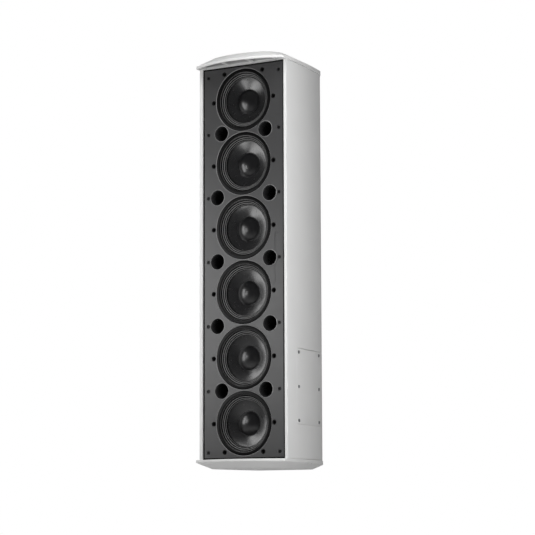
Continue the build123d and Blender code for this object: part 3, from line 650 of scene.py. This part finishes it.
def pocket_mouth(x0, x1, deep, grow):
    """A pocket's outline between two ribs, with points where the deep step meets the ribs."""
    front, rear = nose_line(x0 - grow, x1 + grow, POCKET_LIP - grow), POCKET_BACK + grow
    right, left = front[-1][0], front[0][0]
    marks = [deep[-1][1], rear, rear, deep[0][1]] if deep else [rear, rear]
    half = len(marks) // 2
    return front + [(right, v) for v in marks[:half]] + [(left, v) for v in marks[half:]]


def pocket(bm, x0, x1, deep, place):
    """A pocket under the cap's nose, with a soft mouth and a deeper step at its back."""
    rows = [(pocket_mouth(x0, x1, deep, 0.5 - side), CAP_H - drop) for side, drop in quarter(0.5)]
    shallow, deepest = (CAP_H - height for height in POCKET_H)
    wall(bm, rows + [(pocket_mouth(x0, x1, deep, 0), shallow)], place)
    if not deep:
        flat_face(bm, [pocket_mouth(x0, x1, deep, 0)], shallow, place)
        return
    front = nose_line(x0, x1, POCKET_LIP)
    for corners in zip(front, front[1:], deep[1:], deep):
        add_face(bm, [bm.verts.new(place(u, v, shallow)) for u, v in corners])
    ceiling = deep + [(deep[-1][0], POCKET_BACK), (deep[0][0], POCKET_BACK)]
    wall(bm, [(ceiling, shallow), (ceiling, deepest)], place)
    flat_face(bm, [ceiling], deepest, place)


def pocket_painted_shade(x, depth, z):
    """How much painted shade a point in a pocket gets: most on the ceiling just behind the lip, less further
    back, and some on the back wall near the mouth.
    """
    w = min(z, COLUMN_H - z)
    nd, nr = nose_circle(*NOSE)
    behind = depth - (nd - math.sqrt(nr**2 - min(x * x, nr**2)))
    if abs(x) < 130 and depth < POCKET_BACK + 1 and 10 < w < 17 and behind > POCKET_LIP - 1:
        return 1.0 - 0.4 * (behind - POCKET_LIP) / (NOSE[1] + POCKET_BACK - POCKET_LIP)
    return 0.35 if 17 < w < 22.1 and abs(depth - POCKET_BACK) < 0.1 else 0.0


def end_cap(name, place):
    bm = bmesh.new()
    inset, mid, end, corner = CAP_FLAT
    flat = cap_outline(inset, mid, end, corner)
    flat_in = cap_outline(inset + 0.9, mid - 0.9, end - 0.8, corner - 0.9)
    mid, end = NOSE[1:]
    rim = cap_outline(-RIM_PROUD, mid, end, 6.0)
    rim_in = cap_outline(0.6 - RIM_PROUD, mid - 0.6, end - 0.6, 5.4)
    lines = [cap_profile(*four) for four in zip(flat_in, flat, rim, rim_in)]
    rows = [[bm.verts.new(place(*p)) for p in row] for row in zip(*lines)]
    for a, b in zip(rows, rows[1:]):
        for i in range(len(a)):
            j = (i + 1) % len(a)
            add_face(bm, (a[i], a[j], b[j], b[i]))
    sink_r, sink_d = CAP_SINK
    holes = [circle(u, v, sink_r + 0.4, 36) for u, v in CAP_SCREWS]
    holes += [circle(u, v, INSERT_R + 0.3, 40) for u, v in CAP_INSERTS]
    flat_face(bm, [flat_in] + holes, 0, place)
    for u, v in CAP_SCREWS:
        tail = [(CAP_SCREW_R, sink_d), (CAP_SCREW_R, CAP_H)]
        hole(bm, u, v, sink_r, 0.4, sink_d, 36, tail=tail, place=place)
    for u, v in CAP_INSERTS:
        hole(bm, u, v, INSERT_R, 0.3, INSERT_LEN, 40, tail=[(0, INSERT_LEN)], place=place)
    gaps = [(x0 + RIB_T / 2, x1 - RIB_T / 2) for x0, x1 in zip(RIBS, RIBS[1:])]
    steps = [nose_line(x0, x1, POCKET_STEP) if abs(x0 + x1) < 200 else [] for x0, x1 in gaps]
    pockets = [pocket_mouth(x0, x1, deep, 0.5) for (x0, x1), deep in zip(gaps, steps)]
    screw_ways = [circle(u, v, CAP_SCREW_R, 36) for u, v in CAP_SCREWS]
    flat_face(bm, [rim_in] + pockets + screw_ways, CAP_H, place)
    for (x0, x1), deep in zip(gaps, steps):
        pocket(bm, x0, x1, deep, place)
    cap = finish_mesh(name + "_look", bm, CAP_PAINT, replaces=(name,), sharp=33)
    for d, length in SLOTS:
        cut_slot(cap, d, length, place)
    # Painted shade inside the pockets, darkest just behind the lip.
    paint_light_mask(cap, pocket_painted_shade)


def cut_slot(obj, d, length, place):
    """A slot in the right-hand rim, cut with a box that is then removed."""
    low, high = on_side(d - length / 2, 0, -5.0), on_side(d + length / 2, 0, 2.5)
    corners = ((high.x, -1), (low.x, -1), (low.x, 1), (high.x, 1))
    loop = [(u / MM, d + v * length / 2) for u, v in corners]
    bm = bmesh.new()
    wall(bm, [(loop, w) for w in SLOT_Z], place)
    for w in SLOT_Z:
        flat_face(bm, [loop], w, place)
    cut_away(obj, bm, 33)


def cut_away(obj, bm, sharp):
    """Takes the closed shape bm away from obj."""
    bmesh.ops.remove_doubles(bm, verts=bm.verts, dist=1e-6)
    bmesh.ops.recalc_face_normals(bm, faces=bm.faces)
    mesh = bpy.data.meshes.new("cutter")
    bm.to_mesh(mesh)
    bm.free()
    cutter = bpy.data.objects.new("cutter", mesh)
    bpy.context.scene.collection.objects.link(cutter)
    mod = obj.modifiers.new("cut", "BOOLEAN")
    mod.object, mod.operation, mod.solver = cutter, "DIFFERENCE", "EXACT"
    bpy.context.view_layer.update()
    shaped = bpy.data.meshes.new_from_object(obj.evaluated_get(bpy.context.evaluated_depsgraph_get()))
    obj.modifiers.clear()
    obj.data = shaped
    sharpen(obj.data, sharp)
    bpy.data.objects.remove(cutter)


# ---------------------------------------------------------------- side cover, input cup and inserts
def side_cover():
    bm = bmesh.new()

    def loop(inset):
        d0, d1, z0, z1 = COVER
        return rounded_rect(d0 + inset, d1 - inset, z0 + inset, z1 - inset, COVER_CORNER_R - inset, 8)

    inner_face = COVER_T - 0.05
    grid = [g for g in COVER_GRID if all(math.dist(g, c) > 5 for c in COVER_SCREWS)]
    front = [loop(0.4)] + [circle(u, v, COVER_HOLE_R + 0.1, 24) for u, v in COVER_SCREWS]
    flat_face(bm, front, 0, on_side, grid, True)
    plate(bm, loop, 0.4, inner_face, 0, on_side)
    back = [loop(0)] + [circle(u, v, COVER_HOLE_R, 24) for u, v in COVER_SCREWS]
    flat_face(bm, back, inner_face, on_side, grid, True)
    for u, v in COVER_SCREWS:
        hole(bm, u, v, COVER_HOLE_R, 0.1, inner_face, 24, place=on_side)
    finish_mesh("side_cover_look", bm, PAINT, replaces=("side_cover_plate",), sharp=40)


def input_cup():
    bm = bmesh.new()

    def flange(inset):
        return cup_rect(CUP_FLANGE, -inset, 1.6)

    def bowl(grow):
        return cup_rect(CUP_BOWL, grow, 6.0)

    screw_ways = [circle(u, v, 1.9, 20) for u, v in CUP_SCREWS]
    flat_face(bm, [flange(0.6), bowl(0.6)] + screw_ways, -CUP_PROUD, on_back)
    plate(bm, flange, 0.6, CUP_SEAT + CUP_PROUD, -CUP_PROUD, on_back)
    rows = [(bowl(side), deep - CUP_PROUD) for side, deep in quarter(0.6)]
    rows += [(bowl(0), CUP_FLOOR - 2.0), (bowl(-0.6), CUP_FLOOR - 0.6), (bowl(-2.0), CUP_FLOOR)]
    wall(bm, rows, on_back)
    flat_face(bm, [bowl(-2.0)], CUP_FLOOR, on_back)
    outer, far_side = cup_rect(CUP_MOUTH, 0, 1.0), CUP_FLOOR + 3.0
    wall(bm, [(outer, CUP_SEAT), (outer, far_side)], on_back)
    flat_face(bm, [outer], far_side, on_back)
    flat_face(bm, [flange(0), outer], CUP_SEAT, on_back)
    finish_mesh("input_cup_look", bm, CUP, replaces=("input_cup",), sharp=40)


def terminal_strip():
    bm = bmesh.new()
    half_u, half_v = STRIP_SIZE
    low, high, d = CUP_Z - half_v, CUP_Z + half_v, BODY_D - CUP_FLOOR
    add_box(bm, -half_u, half_u, d, d + STRIP_H[0], low, high)
    for x in (-36.9, -18.0, 0.0, 18.0, 36.9):
        add_box(bm, x - 1.1, x + 1.1, d, d + STRIP_H[1], low, high)
    obj = finish_mesh("terminal_strip_look", bm, STRIP, replaces=("terminal_strip",))
    soften(obj, 0.3)


def inserts():
    profile = [(3.4, INSERT_LEN), (3.4, 0.9), (3.9, 0.0)]
    profile += [(INSERT_R - 0.4, 0.0), (INSERT_R, 0.4), (INSERT_R, INSERT_LEN)]
    bm = bmesh.new()
    for u, v in BACK_INSERTS:
        revolve(bm, profile, u, v, 40, on_back, True)
    for place in (on_base, on_top):
        for u, v in CAP_INSERTS:
            revolve(bm, profile, u, v, 40, place, True)
    finish_mesh("rigging_insert_look", bm, STEEL, replaces=("rigging_inserts",), sharp=30)


def label_loop():
    """The label's shallow recess, stepping round the lip of the port beside it."""
    x0, x1, half, _ = LABEL
    port_x, z_mid, r = 78.0, MID_Z, PORT_LIP_R + 1.3
    step = math.sqrt(r**2 - (x0 - port_x) ** 2)
    pts = [(x1 - 2, z_mid + half), (x0 + 2, z_mid + half), (x0, z_mid + half - 2)]
    reach = math.asin(step / r)
    for k in range(13):
        t = reach - 2 * reach * k / 12
        pts.append((port_x + r * math.cos(t), z_mid + r * math.sin(t)))
    pts += [(x0, z_mid - half + 2), (x0 + 2, z_mid - half), (x1 - 2, z_mid - half)]
    pts += [(x1, z_mid - half + 2), (x1, z_mid + half - 2)]
    return pts


def driver_rim_painted_highlight(x, depth, z):
    """The rounded edge of a driver's opening, which gets a painted highlight."""
    return 0.02 < depth < 1.0 and min(abs(math.hypot(x, z - v) - REBATE_R - 0.4) for v in DRIVER_Z) < 0.6


def baffle():
    bm = bmesh.new()
    label = label_loop()
    sunk = LABEL[3]
    in_label = [(x, z) for x, z in SCREWS if x > 0 and abs(z - MID_Z) < 1]
    others = [p for p in SCREWS if p not in in_label]

    def edge(inset):
        x0, x1, z0, z1 = BAFFLE_BOX
        return rounded_rect(x0 + inset, x1 - inset, z0 + inset, z1 - inset, 1.5)

    front = [edge(1.4), label]
    front += [circle(0, z, REBATE_R + 0.9, 160) for z in DRIVER_Z]
    front += [circle(x, z, PORT_LIP_R + 0.35, 72) for x, z in PORTS]
    front += [circle(x, z, SOCKET_R + 0.5, 40) for x, z in SOCKETS]
    front += [circle(x, z, SINK_R + 0.5, 36) for x, z in others]
    flat_face(bm, front, 0)
    flat_face(bm, [label] + [circle(x, z, SINK_R + 0.5, 36) for x, z in in_label], sunk)
    wall(bm, [(label, 0), (label, sunk)], smooth=False)
    back = [edge(0)]
    back += [circle(0, z, CUTOUT_R, 160) for z in DRIVER_Z] + [circle(x, z, PORT_R, 72) for x, z in PORTS]
    back += [circle(x, z, SOCKET_R, 40) for x, z in SOCKETS]
    back += [circle(x, z, SCREW_WAY_R, 36) for x, z in SCREWS]
    flat_face(bm, back, BAFFLE_T)
    plate(bm, edge, 1.4, BAFFLE_T)
    for z in DRIVER_Z:
        hole(bm, 0, z, REBATE_R, 0.9, 5, 160, tail=[(CUTOUT_R, 5), (CUTOUT_R, BAFFLE_T)])
    for x, z in PORTS:
        hole(bm, x, z, PORT_LIP_R + 0.05, 0.3, 1.6, 72, tail=[(PORT_R, 1.6), (PORT_R, BAFFLE_T)])
    for x, z in SOCKETS:
        hole(bm, x, z, SOCKET_R, 0.5, BAFFLE_T, 40)
    for x, z in SCREWS:
        start = sunk if (x, z) in in_label else 0.0
        tail = [(SCREW_WAY_R, SINK_D), (SCREW_WAY_R, BAFFLE_T)]
        hole(bm, x, z, SINK_R, 0.5, SINK_D, 36, start=start, tail=tail)
    panel = finish_mesh("baffle_look", bm, BAFFLE_PAINT, replaces=("front_baffle",), sharp=40)
    # Painted highlight along the rounded edges of the driver openings.
    paint_light_mask(panel, driver_rim_painted_highlight)


# ---------------------------------------------------------------- drivers
def lathe(name, profile, places, material, body, replaces, n=128, sharp=38, blend=False):
    bm = bmesh.new()
    for x, z in places:
        revolve(bm, profile, x, z, n, closed=True)
    return finish_mesh(name, bm, material, body, replaces, sharp, blend)


def thick(line, t):
    """A closed profile of thickness t about a line of (radius, depth) points."""
    front, back = [], []
    for i, (r, d) in enumerate(line):
        a, b = line[max(i - 1, 0)], line[min(i + 1, len(line) - 1)]
        dx, dy = b[0] - a[0], b[1] - a[1]
        length = math.hypot(dx, dy) or 1
        nx, ny = dy / length * t / 2, -dx / length * t / 2
        front.append((r + nx, d + ny))
        back.append((r - nx, d - ny))
    return front + back[::-1]


def pleats(start, end, waves, height, first, steps=14):
    """A line from start to end that waves from side to side, as round rolls."""
    (r0, d0), (r1, d1) = start, end
    length = math.hypot(r1 - r0, d1 - d0)
    ar, ad = (r1 - r0) / length, (d1 - d0) / length
    nr, nd = (ad, -ar) if -ar < 0 else (-ad, ar)
    pts = []
    for i in range(waves):
        up = first if i % 2 == 0 else -first
        for k in range(steps):
            t = math.pi * k / steps
            s = (i + 0.5 - 0.5 * math.cos(t)) * length / waves
            h = up * height * math.sin(t)
            pts.append((r0 + ar * s + nr * h, d0 + ad * s + nd * h))
    pts.append(end)
    return pts


def cone_front(r):
    """Depth of the cone's slightly bowed front face at a radius."""
    (neck_r, neck_d), (edge_r, edge_d) = CONE_NECK, CONE_EDGE
    if r < edge_r:
        share = (r - neck_r) / (edge_r - neck_r)
        return neck_d - (neck_d - edge_d) * share - 4 * CONE_BOW * share * (1 - share)
    return edge_d - (r - edge_r) / 4.2


def bend_with(obj, body, z, outer, inner):
    """obj's outer edge stays with the cabinet and its inner edge goes with the cone, by radius."""
    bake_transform(obj, "enclosure", body, start=at(0, 3, z), end=at(0, 16, z))
    data = obj.data.attributes["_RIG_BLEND"].data
    for v in obj.data.vertices:
        r = math.hypot(v.co.x, v.co.z - z * MM) / MM
        t = min(1.0, max(0.0, (outer - r) / (outer - inner)))
        data[v.index].value = t * t * (3 - 2 * t)


def crest_painted_highlight(z):
    """A rule for how near a point of the surround at height z is to the front of a roll, for a painted
    highlight on the crests.
    """
    (r0, d0), (r1, d1) = SURROUND
    length = math.hypot(r1 - r0, d1 - d0)

    def rule(x, depth, height):
        radius = math.hypot(x, height - z)
        proud = ((r1 - r0) * (depth - d0) - (d1 - d0) * (radius - r0)) / length
        return (proud / ROLL_H - 0.75) / 0.35 if r1 < radius < r0 else 0.0

    return rule


def port_rim_painted_highlight(x, depth, z):
    """The outer edge of a port's lip, which gets a painted highlight."""
    return depth < 0.5 and min(math.hypot(x - u, z - v) for u, v in PORTS) > 20.3


def dome_profile():
    """The dust cap's closed profile: its dome, the hem glued to the cone and its inside."""
    base, rise = cone_front(DOME_R), DOME_H - HEM_T
    top, radius = base - DOME_H, (DOME_R**2 + rise**2) / (2 * rise)
    inner = radius - DOME_T
    dome, under = [], []
    for k in range(25):
        t = math.asin(DOME_R / radius) * k / 24
        dome.append((radius * math.sin(t), top + radius * (1 - math.cos(t))))
        under.append((inner * math.sin(t), top + DOME_T + inner * (1 - math.cos(t))))
    hem = [(31.5, base - 0.53), (32.3, cone_front(32.3) - 0.45)]
    hem += [(32.6, cone_front(32.6) - 0.2), (32.6, cone_front(32.6))]
    return [(0, top)] + dome[1:] + hem + [(DOME_R, base)] + under[:0:-1] + [(0, top + DOME_T)]


def drivers():
    ring = [(73.0, 1.0), (73.5, 0.5), (80.3, 0.5), (80.8, 0.7), (81.0, 1.1)]
    ring += [(81.0, 3.0), (74.6, 3.0), (74.6, 2.3), (73.0, 2.3)]
    places = [(0, z) for z in DRIVER_Z]
    lathe("trim_ring_look", ring, places, RING, "enclosure", ("trim_rings",), 160)
    skirt = [(74.2, 2.65), (72.4, 2.65), (71.8, 2.9), (71.5, 3.6), (71.35, 5.2)]
    glue = [(59.2, 15.5), (58.4, cone_front(58.4) - 0.35), (57.3, cone_front(57.3) - 0.35)]
    surround = thick(skirt + pleats(*SURROUND, 6, ROLL_H, -1) + glue, 0.7)
    shelf = [(49.0, 48.2), (45.0, 48.2)]
    collar = [(26.1, 47.4), (26.05, 46.4)]
    spider = thick(shelf + pleats((44.4, 48.2), (26.4, 48.2), 6, 1.8, 1) + collar, 0.6)
    face = [(r, cone_front(r)) for r in (CONE_NECK[0], 27, 29, 31, 34, 37, 40, 43, 46, 49, 52, 54, 56)]
    face += [(57.2, 16.55), (58.6, 16.23), (60.8, 15.7)]
    cone = face + [(60.85, 16.2), (60.8, 16.55)] + [(r, d + CONE_T) for r, d in reversed(face[:-1])]
    cap = dome_profile()
    for i, z in enumerate(DRIVER_Z, start=1):
        body = f"diaphragm_{i}"
        place = [(0, z)]
        node = (f"surround_{i}",)
        bent = lathe(node[0] + "_look", surround, place, CLOTH, body, node, 144, 60, True)
        # Painted highlight on the crests of the rolls.
        paint_light_mask(bent, crest_painted_highlight(z))
        bend_with(bent, body, z, 71.0, 60.0)
        node = (f"spider_{i}",)
        bent = lathe(node[0] + "_look", spider, place, SPIDER, body, node, 96, 60, True)
        bend_with(bent, body, z, 44.0, 27.0)
        lathe(f"cone_{i}_look", cone, place, CONE, body, (f"cone_{i}",), 144, 50)
        bm = bmesh.new()
        revolve(bm, cap, 0, z, 128)
        finish_mesh(f"dust_cap_{i}_look", bm, DOME, body, (f"dust_cap_{i}",), 50)


def ports_and_sockets():
    bore = [(17.0, 95.0), (17.0, 8.0), (17.15, 5.5), (17.6, 3.4), (18.3, 1.7), (19.2, 0.4)]
    lip = [(20.0, -0.35), (20.4, -0.58), (20.7, -0.55), (20.92, -0.35), (21.0, 0.0), (21.0, 1.6)]
    port = bore + lip + [(PORT_R, 1.6), (PORT_R, 95.0)]
    tubes = lathe("port_look", port, PORTS, PORT, "enclosure", ("port_tubes",), 80, 50)
    # Painted highlight on the outer edge of each port's lip.
    paint_light_mask(tubes, port_rim_painted_highlight)
    bm = bmesh.new()
    socket = [(0, 12.0), (4.4, 12.0), (4.4, 1.7), (4.6, 1.0), (5.1, 0.45)]
    socket += [(5.8, 0.25), (6.15, 0.4), (SOCKET_R, 0.8), (SOCKET_R, 14.5), (0, 14.5)]
    for x, z in SOCKETS:
        revolve(bm, socket, x, z, 40)
    finish_mesh("socket_look", bm, RUBBER, replaces=("grille_sockets",))


def hexagon(x, z, r, turn):
    corners = [turn + math.pi * i / 3 for i in range(6)]
    return [(x + r * math.cos(t), z + r * math.sin(t)) for t in corners]


def baffle_screws():
    head = [(3.6, 1.6), (3.85, 1.7), (4.0, 2.0), (4.0, 4.0)]
    shank = [(2.15, 4.0), (2.15, 30.0), (0, 30.0)]
    bm = bmesh.new()
    for x, z in SCREWS:
        turn = random.uniform(0, math.pi / 3)
        key = hexagon(x, z, 2.2, turn)
        flat_face(bm, [circle(x, z, 3.6, 36), key], 1.6)
        wall(bm, [(key, 1.6), (key, 3.1)], smooth=False)
        flat_face(bm, [key], 3.1)
        revolve(bm, head + shank, x, z, 36)
    finish_mesh("baffle_screw_look", bm, BLACK_STEEL, replaces=("baffle_screws",))


cabinet()
end_cap("bottom_cap", on_base)
end_cap("top_cap", on_top)
side_cover()
input_cup()
terminal_strip()
inserts()
baffle()
drivers()
ports_and_sockets()
baffle_screws()

PLAIN = {
    "baffle_gasket": FOAM,
    "cap_screws": STEEL,
    "side_cover_screws": DARK_ZINC,
    "input_screws": STEEL,
    "shelf_braces": PLYWOOD,
    "driver_magnets": FERRITE,
    "driver_top_plates": STEEL,
    "driver_yokes": STEEL,
    "driver_screws": BLACK_STEEL,
    "crossover_board": BOARD,
    "crossover_parts": PARTS,
    "wiring_harness": LEAD,
}
for i in range(1, 7):
    PLAIN[f"voice_coil_{i}"] = COPPER
    PLAIN[f"basket_{i}"] = FRAME_PAINT
for node, material in PLAIN.items():
    mesh = nodes[node].data
    mesh.materials.clear()
    mesh.materials.append(material)
    for p in mesh.polygons:
        p.use_smooth = True
    mesh.set_sharp_from_angle(angle=math.radians(30))

# ---------------------------------------------------------------- stage, light and camera
bpy.ops.mesh.primitive_plane_add(size=12, location=(0, 0, -0.25))
floor = bpy.context.object
floor.name = "stage_floor"
pale, pale_nodes, pale_bsdf = new_material("stage_pale")
pale_bsdf.inputs["Base Color"].default_value = (0.55, 0.55, 0.55, 1)
pale_bsdf.inputs["Roughness"].default_value = 0.9
pale_bsdf.inputs["Emission Color"].default_value = (0.55, 0.55, 0.55, 1)
seen = pale_nodes.nodes.new("ShaderNodeLightPath")
pale_nodes.links.new(seen.outputs["Is Camera Ray"], pale_bsdf.inputs["Emission Strength"])
floor.data.materials.append(pale)

world = bpy.data.worlds.new("studio")
bpy.context.scene.world = world
bpy.context.scene.view_settings.view_transform = "Standard"
world.use_nodes = True
wn = world.node_tree
ambient = wn.nodes["Background"]
ambient.inputs["Color"].default_value = (1, 1, 1, 1)
ambient.inputs["Strength"].default_value = 0.05
backdrop = wn.nodes.new("ShaderNodeBackground")
backdrop.inputs["Color"].default_value = (1, 1, 1, 1)
backdrop.inputs["Strength"].default_value = 1.0
path = wn.nodes.new("ShaderNodeLightPath")
mix = wn.nodes.new("ShaderNodeMixShader")
wn.links.new(path.outputs["Is Camera Ray"], mix.inputs["Fac"])
wn.links.new(ambient.outputs["Background"], mix.inputs[1])
wn.links.new(backdrop.outputs["Background"], mix.inputs[2])
wn.links.new(mix.outputs["Shader"], wn.nodes["World Output"].inputs["Surface"])


def softbox(name, azimuth, height, distance, width, tall, watts, target_z):
    """An area light, azimuth measured from the front (-Y) towards +X."""
    a = math.radians(azimuth)
    light = bpy.data.lights.new(name, "AREA")
    light.shape = "RECTANGLE"
    light.size, light.size_y, light.energy = width, tall, watts
    obj = bpy.data.objects.new(name, light)
    obj.location = (distance * math.sin(a), -distance * math.cos(a), height)
    aim = Vector((0, 0, target_z)) - obj.location
    obj.rotation_euler = aim.to_track_quat("-Z", "Y").to_euler()
    bpy.context.scene.collection.objects.link(obj)
    return obj


MIDDLE = MID_Z * MM
# name, azimuth, height, distance, width, tall, watts, height it points at, whether gloss shows it
LIGHTS = (
    ("left_box", -50, 0.53, 1.09, 0.36, 0.85, 3.8, MIDDLE, True),
    ("left_front", -27, 0.50, 1.30, 0.20, 0.45, 1.6, MIDDLE, True),
    ("right_near", 57, 0.60, 0.72, 0.35, 1.5, 5.4, MIDDLE, False),
    ("right_high", 55, 1.90, 2.2, 0.6, 0.6, 5.0, MIDDLE, False),
    ("behind_right", 140, 0.60, 1.6, 0.3, 1.6, 0.6, MIDDLE, True),
    ("top_near", 8, 1.90, 0.7, 0.6, 0.4, 6.5, 1.0, False),
    ("top_front", 8, 2.3, 2.6, 1.4, 0.9, 7.0, MIDDLE, False),
    ("low_front", 12, 0.55, 1.5, 0.10, 0.10, 2.6, 1.0, False),
    ("back_left", 222, 1.30, 2.2, 1.2, 1.4, 26.0, MIDDLE, False),
    ("far_left", 262, 0.90, 2.0, 0.8, 1.4, 12.0, MIDDLE, False),
)
for *placing, shine in LIGHTS:
    softbox(*placing).visible_glossy = shine

CAM_AZIMUTH, CAM_TILT, CAM_ROLL = 31.18, 7.19, -0.2  # degrees, as the photo was fitted
camera = bpy.data.cameras.new("camera")
camera.lens, camera.sensor_width = 135.7, 36
cam = bpy.data.objects.new("camera", camera)
cam.location = (2.6855, BAFFLE_Y * MM - 4.3198, MIDDLE - 0.6618)
aim = Matrix.Rotation(math.radians(CAM_AZIMUTH), 4, "Z") @ Matrix.Rotation(math.radians(90 + CAM_TILT), 4, "X")
cam.rotation_euler = (aim @ Matrix.Rotation(math.radians(CAM_ROLL), 4, "Z")).to_euler()
bpy.context.scene.collection.objects.link(cam)
bpy.context.scene.camera = cam
